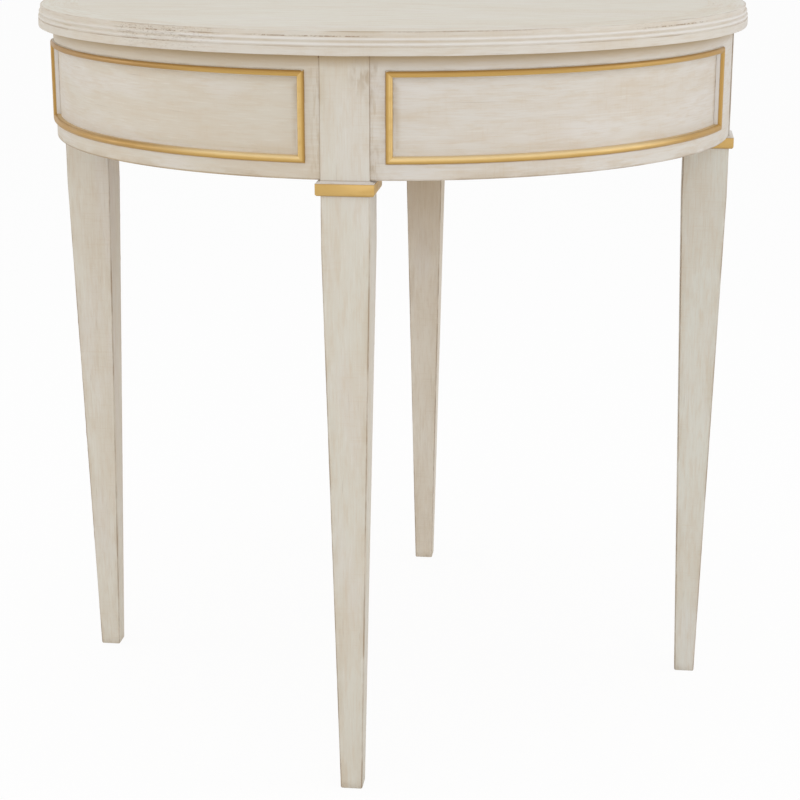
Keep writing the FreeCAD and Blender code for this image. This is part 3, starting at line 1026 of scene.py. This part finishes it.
# The halo is partly glaze and partly painted shade beside the bead.
halo_glaze_and_shade = broken(near(gap, BEAD_HALO, 0.40), patches, 0.34, 0.60, 0.3) * off_wall
by_upright = near(mitre, (-0.006, 0.0), 1.5)
halo_glaze_and_shade = halo_glaze_and_shade * fade(within, 0, 1, 0.3, 1.0) * most(by_upright, fade(upper_field, 0, 1, 0.10, 0.8))
inside_bead = abs(side + (BEAD_HALF + 0.0010))
pale = broken(near(inside_bead, PALE_LINE, 0.40), patches, 0.36, 0.56, 0.3)
pale = most(pale * fade(upper_field, 0, 1, 1.0, 0.1), on_wall * 0.7)
glaze = most(joint, lower_line, beside, open_joint_shade, smudged * SMUDGE_GLAZE)
# This tan mix holds painted shade below the top and in the halo, and the tan wash elsewhere.
shade_and_wash = most(by_joint, halo_glaze_and_shade, low_wash, arris_wash, smudged, overhang_shade_and_wash(z))
inner = near(out - APRON_INSIDE, INNER_FACE)
tone = blend(fade(x, -0.05, 0.05), PAINT_RAIL, PAINT_RIGHT_RAIL)
brushed_paint(shader, strokes, tone, shade_and_wash, glaze, pale, inner, uneven=0.9)
for rail in rails:
    rail.data.materials.append(rail_paint)
print(len(rails), "rails painted")

# %% [markdown]
# ## Paint on the legs
#
# On the legs the strokes run up and down. All four legs share one graph: the smaller of x and y tells
# how far a point is from the middle of its leg, and the larger how far out it is. They give the
# distances to the leg's sides and arrises, which draw together down the taper.

# %% Places on a leg
leg_paint, shader, x, y, z = new_finish("brushed leg paint")
strokes = vector(z, x, y)
patches = noise(strokes, (0.22, 1, 1), 70, 5, 0.65)
half_width = fade(z, FOOT_EASE, NECK_BOTTOM, FOOT_WIDTH / 2, LEG_WIDTH / 2, "LINEAR")
half_depth = fade(z, FOOT_EASE, NECK_BOTTOM, FOOT_WIDTH / 2, LEG_DEPTH / 2, "LINEAR")
to_side = half_width - least(abs(x), abs(y))
out = most(abs(x), abs(y)) - LEG_AXIS
to_arris = most(to_side, half_depth - abs(out))
to_collar = least(abs(z - COLLAR_TOP), abs(z - COLLAR_BOTTOM))
in_apron = fade(z, APRON_BOTTOM - 0.0002, APRON_BOTTOM + 0.0002)
rear = fade(y, 0.10, 0.25)
print("places on a leg ready")

# %% [markdown]
# The glaze shows as thin brown lines along the arrises, with gaps where it was rubbed away, as a dark
# line beside the rails and at the top of the collar, and as a little dirt at the foot. Below the collar
# a line of painted shadow runs round the leg, and right below the top the block carries the painted
# shade of the overhang, as the rails do. The front leg is painted darker as painted shade, the rear leg
# paler as painted light, and the right one is a shade cooler. Near the apron the rear leg carries
# painted shade, except on its outer face. The smudges beside the front leg run on to its block.

# %% Paint on the legs
PAINT_LEG = (0.694, 0.655, 0.567, 1)
PAINT_FRONT_LEG_SHADED = (0.646, 0.610, 0.526, 1)
PAINT_RIGHT_LEG = (0.672, 0.657, 0.585, 1)
PAINT_REAR_LEG_LIT = (0.735, 0.682, 0.588, 1)
LEG_LINE = (0.0006, 0.0017)
LEG_STAIN = (0.0, 0.010)
BLOCK_LINE = (0.0002, 0.0006)
COLLAR_LINE = (0.0003, 0.0010)
FOOT_DIRT = (0.001, 0.010)
BLOCK_SMUDGE = (0.004, 0.026)
BACK_FACE = (0.0004, 0.0009)

lines = broken(near(to_arris, LEG_LINE, 0.72), patches, 0.36, 0.60, 0.30) * (1 - in_apron)
joint = broken(near(to_side, BLOCK_LINE, 0.60), patches, 0.36, 0.58, 0.35) * in_apron
# A dark line at the collar's top joint, and a line of painted shadow below the collar.
collar_joint_and_shadow = near(to_collar, COLLAR_LINE, 0.36)
foot = broken(near(z, FOOT_DIRT, 0.20), patches, 0.40, 0.60, 0.3)
by_arris = broken(near(to_arris, LEG_STAIN, 0.22), patches, 0.42, 0.62)
# Painted shade on the rear leg near the apron, except on its outer face.
rear_leg_painted_shade = fade(half_depth - out, 0.0006, 0.0012) * fade(z, 0.36, 0.56, 0.0, 0.66) * rear
smudged = smudges(near(to_side, BLOCK_SMUDGE, 0.55), strokes, (0.35, 1, 1))
smudged = smudged * fade(z, TOP_UNDERSIDE - 0.045, TOP_UNDERSIDE - 0.015) * front_right(x, y, 0.004)
glaze = most(lines, joint, collar_joint_and_shadow, foot, smudged * SMUDGE_GLAZE)
# Tan mix: stains by the arrises and smudges, with painted shade below the top and on the rear leg.
shade_and_wash = most(by_arris, rear_leg_painted_shade, smudged, overhang_shade_and_wash(z))
hidden = near(half_depth + out, BACK_FACE) * in_apron
# Leg tones as painted shade and light: the front leg darker, the rear leg paler.
tone = blend(fade(y, -0.25, -0.10), PAINT_FRONT_LEG_SHADED, PAINT_LEG)
tone = lay_over(tone, (rear, PAINT_REAR_LEG_LIT), (fade(x, 0.10, 0.25), PAINT_RIGHT_LEG))
brushed_paint(shader, strokes, tone, shade_and_wash, glaze, bare_share=hidden, uneven=0.7)
for piece in legs:
    piece.data.materials.append(leg_paint)
print(len(legs), "legs painted")

# %% [markdown]
# ## Paint on the top
#
# The top is painted in long straight strokes, a shade cooler than the rails. Its underside was left
# bare.

# %% Paint on the top
PAINT_TOP = (0.670, 0.640, 0.556, 1)
UNDERSIDE = (0.0002, 0.0006)

top_paint, shader, x, y, z = new_finish("brushed top paint")
below = near(z - TOP_UNDERSIDE, UNDERSIDE)
brushed_paint(shader, vector(x, y, z), PAINT_TOP, bare_share=below, uneven=0.55)
print("top paint made")

# %% [markdown]
# ## Paint on the moulded edge
#
# On the moulded edge dark glaze stayed only in places, as short dashes in the quirk below the fillet
# and as a thin line above the fascia, and a nearly dry brush left patches of fine scratches. The lines
# are bands of height, broken up by noises along the curve. The places where the brush dwelt, and one
# that stayed clean, are given in degrees from the front, to the right.

# %% Dark marks on the moulded edge
ARRIS_REACH = TOP_RADIUS - 0.0032
QUIRK_LINE = (0.0002, 0.0008)
TOP_LINE = (0.0003, 0.0010)
FINE_LINE = (0.0006, 0.0014)
FRONT_DASHES = (-13, 3)
LEFT_DASHES = (-37, -19)
RIGHT_DASHES = (48, 61)
LOW_DASHES = (-36, -26)
CLEAN_PLACE = (12, 45)
FINE_PLACE = (7, 27)


def between(turn, place, soft):
    """One between two angles in degrees, with soft ends."""
    start, end = [(math.radians(angle - soft), math.radians(angle + soft)) for angle in place]
    return fade(turn, *start) * near(turn, end)


def turn_from_front(x, y):
    """The angle round the table from the front, to the right."""
    return maths("ARCTAN2", x, y * -1.0)


edge_paint, shader, x, y, z = new_finish("brushed edge paint")
strokes = round_grain(x, y, z, TOP_RADIUS)
turn = turn_from_front(x, y)
out = reach(x, y)
dashes = noise(strokes, (230, 420, 1), 1, 4, 0.7)
specks = noise(strokes, (420, 1100, 1), 1, 2, 0.6)
lengths = noise(strokes, (16, 260, 1), 1, 4, 0.6)
scratches = noise(strokes, (48, 1300, 1), 1, 3, 0.6)
patches = fade(noise(strokes, (5, 1, 1), 1, 2), 0.52, 0.66) * (1 - between(turn, CLEAN_PLACE, 3))
at_left = between(turn, LEFT_DASHES, 3)
dwelt = most(patches, between(turn, FRONT_DASHES, 2), at_left, between(turn, RIGHT_DASHES, 2))
to_fillet = abs(z - FILLET_QUIRK)
to_reed = abs(z - REED_QUIRK)
to_fascia = abs(z - FASCIA_QUIRK)
to_corner = most(TOP_HEIGHT - z, ARRIS_REACH - out)
high_dashes = broken(near(to_fillet, QUIRK_LINE, 0.70), dashes, 0.44, 0.54) * dwelt
low_dashes = broken(near(to_fascia, QUIRK_LINE, 0.65), dashes, 0.42, 0.52)
low_dashes = low_dashes * between(turn, LOW_DASHES, 2)
thin_line = broken(near(to_fascia, QUIRK_LINE, 0.42), lengths, 0.40, 0.60, 0.2)
arris_line = broken(near(to_corner, TOP_LINE, 0.46), lengths, 0.42, 0.60)
fine_line = broken(near(to_corner, FINE_LINE, 0.55), dashes, 0.36, 0.56, 0.45)
fine_line = fine_line * between(turn, FINE_PLACE, 2)
dry_brush = most(fade(scratches, 0.55, 0.66, 0, 0.5), fade(specks, 0.56, 0.66, 0, 0.55))
dry_brush = dry_brush * most(patches * 0.5, at_left) * fade(z, FASCIA_QUIRK, REED_QUIRK, 0.35, 1.0)
print("dashes, lines and scratches")

# %% [markdown]
# A soft tan band lies in the quirks between fillet, reeds and fascia, partly glaze and partly painted
# shade, and the crowns of the reeds carry a painted highlight. Further to the left the highlight is
# weaker and painted shade lies over the edge, most on the fillet and in the quirks. One short place on
# the top's arris is worn. Behind the apron the underside is bare.

# %% Paint on the moulded edge
PAINT_EDGE = (0.655, 0.608, 0.536, 1)
QUIRK_WASH = (0.0, 0.0014)
CROWN = (0.0002, 0.0018)
WORN_PLACE = (0.5, 5.5)
WORN_WIDTH = (0.0, 0.0032)
EDGE_LEFT = (math.radians(-34), math.radians(-14))
INSIDE_APRON = (0.010, 0.012)

on_edge = fade(out, ARRIS_REACH - 0.002, ARRIS_REACH - 0.001)
left = near(turn, EDGE_LEFT)
glaze = most(most(high_dashes, low_dashes, thin_line, dry_brush) * on_edge, arris_line, fine_line)
to_crown = least(abs(z - (FASCIA_QUIRK + REED_HEIGHT / 2)), abs(z - (REED_QUIRK + REED_HEIGHT / 2)))
# Painted highlights on the crowns of the reeds, weaker to the left.
crown_highlights = near(to_crown, CROWN) * fade(left, 0, 1, 0.50, 0.18) * on_edge
# A soft band in the quirks, partly glaze and partly painted shade.
quirk_shade_and_glaze = broken(near(least(to_fillet, to_reed, to_fascia), QUIRK_WASH), lengths, 0.30, 0.64, 0.35)
quirk_shade_and_glaze = quirk_shade_and_glaze * fade(left, 0, 1, 0.15, 0.28) * on_edge
worn = near(to_corner, WORN_WIDTH, 0.5) * between(turn, WORN_PLACE, 1.5)
# Painted shade over the edge at the left end, most on the fillet.
painted_shade_at_sides = fade(z, FILLET_QUIRK, FILLET_QUIRK + 0.001, 0.10, 0.22) * left * on_edge
shade_and_wash = most(quirk_shade_and_glaze, worn, painted_shade_at_sides)
below = near(z - TOP_UNDERSIDE, UNDERSIDE) * near(out - APRON_INSIDE, INSIDE_APRON)
tone = blend(on_edge, PAINT_TOP, PAINT_EDGE)
brushed_paint(shader, strokes, tone, shade_and_wash, glaze, crown_highlights, below, uneven=0.8)
for piece in edges:
    piece.data.materials.append(edge_paint)
print(len(edges), "lengths of edge painted")

# %% [markdown]
# ## Gilding
#
# The beads and the collars are painted with a soft gold, more satin than metal. It is a little uneven.
# A shader that is part metal gives the soft glint without mirror-like reflections.

# %% Gold paint
GOLD = (0.665, 0.450, 0.165, 1)
GOLD_PALE = (0.790, 0.600, 0.310, 1)
GOLD_DEEP = (0.500, 0.295, 0.066, 1)
GOLD_GLAZE_AND_SHADE = (0.310, 0.155, 0.034, 1)


def gold_paint(shader, strokes, deep, glaze, pale=0.0, missed=0.0):
    """Joins the gold to a shader; the masks say where it is deep, darkened by glaze and painted shade,
    pale or left out.
    """
    blotch = noise(strokes, (0.25, 1, 1), 120, 4, 0.6)
    grit = noise(strokes, (0.3, 1, 1), 1300, 2)
    colour = lay_over(
        GOLD,
        (fade(blotch, 0.44, 0.70, 0, 0.35), GOLD_DEEP),
        (fade(grit, 0.58, 0.74, 0, 0.22), GOLD_DEEP),
        # The deep and glaze colours also carry painted shade where the bead masks say so.
        (deep, GOLD_DEEP),
        (pale, GOLD_PALE),
        (glaze, GOLD_GLAZE_AND_SHADE),
        (missed, PAINT_RAIL),
    )
    feed(shader.inputs["Base Color"], colour)
    feed(shader.inputs["Roughness"], fade(blotch, 0.3, 0.7, 0.36, 0.48))
    shader.inputs["Metallic"].default_value = 0.30
    relief(shader, grit, 0.0002)


print("gold paint ready")

# %% [markdown]
# The gold of a bead frame deepens to orange-brown towards its outer side, partly glaze left standing
# against the bead and partly painted shade on the side turned from the light, and is bright on its
# inner side. The lower strip carries a painted highlight at the front. The upper strip, under the top's
# overhang, is darker with painted shade, most along its top, and round the sides and to the left the
# gold is deeper and browner with painted shade. The rims of the upper strip were missed and show the
# paint. The ledge below each field carries a paler gold, on a second slot of the rail.

# %% Gold on the beads
HIGHLIGHT_PLACE = (-30, 53)
GOLD_LEFT = (math.radians(-34), math.radians(-18))
INNER_EDGE = (-0.0034, -0.0028)
INNER_RIM = (-0.0028, -0.0023)
HIGHLIGHT_BAND = (-0.0026, 0.0002)
LEDGE = (APRON_RADIUS - 0.0008, APRON_RADIUS - 0.0003)

bead_gold, shader, x, y, z = new_finish("satin gold beads")
strokes = round_grain(x, y, z, APRON_RADIUS)
turn = turn_from_front(x, y)
side, mitre = from_frame(x, y, z)
lengthwise = fade(mitre, -0.0002, 0.0002)
upper_strip = lengthwise * fade(z, BEAD_LOW + 0.02, BEAD_HIGH - 0.02)
lower_strip = lengthwise - upper_strip
at_front = between(turn, HIGHLIGHT_PLACE, 10)
away = 1 - at_front
# Deeper gold toward the outer side: partly glaze against the bead, partly painted shade turned from the
# light.
outer = fade(side, -0.0010, 0.0022, 0.0, 0.90)
# Painted shade: the upper strip lies in the shadow of the top's overhang, darkest along its top.
shaded = upper_strip * fade(side, -0.0030, 0.0030, 0.75, 1.0)
outer_edge = fade(side, 0.0016, 0.0031, 0.0, 0.45)
upper_edge_shade_and_glaze = upper_strip * fade(side, -0.0014, 0.0026, 0.0, 0.65)
inner_edge = near(side, INNER_EDGE, 0.40) * (1 - lower_strip)
ledge = near(reach(x, y), LEDGE, 0.6)
# A painted highlight on the lower strip at the front, and a paler gold on the ledges.
front_highlight_and_ledge = most(near(side, HIGHLIGHT_BAND, 0.9) * lower_strip * at_front, ledge)
# Painted shade: round the sides and to the left the gold is deeper and browner.
painted_shade_at_sides = away * fade(side, -0.0030, 0.0030, 0.24, 0.40)
painted_shade_at_sides = most(painted_shade_at_sides, near(turn, GOLD_LEFT) * fade(upper_strip, 0, 1, 0.42, 0.70)) * (1 - ledge)
# Deep gold toward the outer side, in the upper strip's painted shade, and as painted shade round the
# sides.
deep = most(outer, shaded, away * 0.9)
glaze = most(outer_edge, upper_edge_shade_and_glaze, inner_edge, painted_shade_at_sides)
missed = most(fade(side, 0.0028, 0.0032), near(side, INNER_RIM)) * upper_strip
gold_paint(shader, strokes, deep, glaze, front_highlight_and_ledge, missed)


def give_slot(piece, index, test):
    """Gives one of a piece's materials to the faces that pass a test."""
    only(piece)
    bpy.ops.object.mode_set(mode="EDIT")
    pick("FACE", test)
    piece.active_material_index = index
    bpy.ops.object.material_slot_assign()
    bpy.ops.object.mode_set(mode="OBJECT")


def is_ledge(face):
    """The lower side of a sunk field, which faces up."""
    return face.normal.z > 0.5 and same(face.calc_center_median().z, FIELD_LOW)


for rail in rails:
    rail.data.materials.append(bead_gold)
    give_slot(rail, 1, is_ledge)
print("beads and ledges gilded")

# %% [markdown]
# The collars are gilded too, with a darker line at the shoulder and below. The slope on top of each
# collar carries the table's paint, with the glaze in the corner at the leg and a thin brown line along
# the shoulder. It is a second material slot, given to the sloped faces.

# %% Finishes of the collars
collar_gold, shader, x, y, z = new_finish("satin gold collars")
upper = fade(z, SHOULDER - 0.0010, SHOULDER - 0.0003, 0.0, 0.5)
lower = near(z, (COLLAR_BOTTOM + 0.0004, COLLAR_BOTTOM + 0.0014), 0.4)
gold_paint(shader, vector(x, y, z), 0.50, most(upper, lower))

slope_paint, shader, x, y, z = new_finish("brushed collar slope")
at_leg = fade(z, COLLAR_TOP - 0.0006, COLLAR_TOP - 0.0001, 0.0, 0.30)
at_shoulder = near(z, (SHOULDER + 0.0001, SHOULDER + 0.0004), 0.25)
brushed_paint(shader, vector(x, y, z), PAINT_WHITE, glaze=most(at_leg, at_shoulder))


def is_slope(face):
    return face.normal.z > 0.6 and face.calc_center_median().z > SHOULDER


for piece in collars:
    piece.data.materials.append(collar_gold)
    piece.data.materials.append(slope_paint)
    give_slot(piece, 1, is_slope)
print(len(collars), "collars gilded and painted")

# %% [markdown]
# ## Screws
#
# The buttons' screws are plain steel, dulled with age.

# %% Screws
STEEL = (0.50, 0.49, 0.47, 1)
STEEL_DULL = (0.30, 0.27, 0.24, 1)

steel, shader, x, y, z = new_finish("dull screw steel")
dull = noise(vector(x, y, z), (1, 1, 1), 900)
feed(shader.inputs["Base Color"], blend(dull, STEEL, STEEL_DULL))
feed(shader.inputs["Roughness"], fade(dull, 0.3, 0.7, 0.32, 0.55))
shader.inputs["Metallic"].default_value = 1.0
print("steel made")

# %% [markdown]
# ## Finishes on the CAD pieces
#
# The pieces whose CAD shape is already right keep it, and get their finish here by name.

# %% Finishes on the CAD pieces
FINISHES = {
    "top_panel": top_paint,
    "bead": bead_gold,
    "glue_block": bare,
    "top_button": bare,
    "button_screws": steel,
}
dressed = 0
for name, node in nodes.items():
    for start, finish in FINISHES.items():
        if name.startswith(start):
            node.data.materials.clear()
            node.data.materials.append(finish)
            dressed += 1
print(dressed, "CAD pieces dressed")
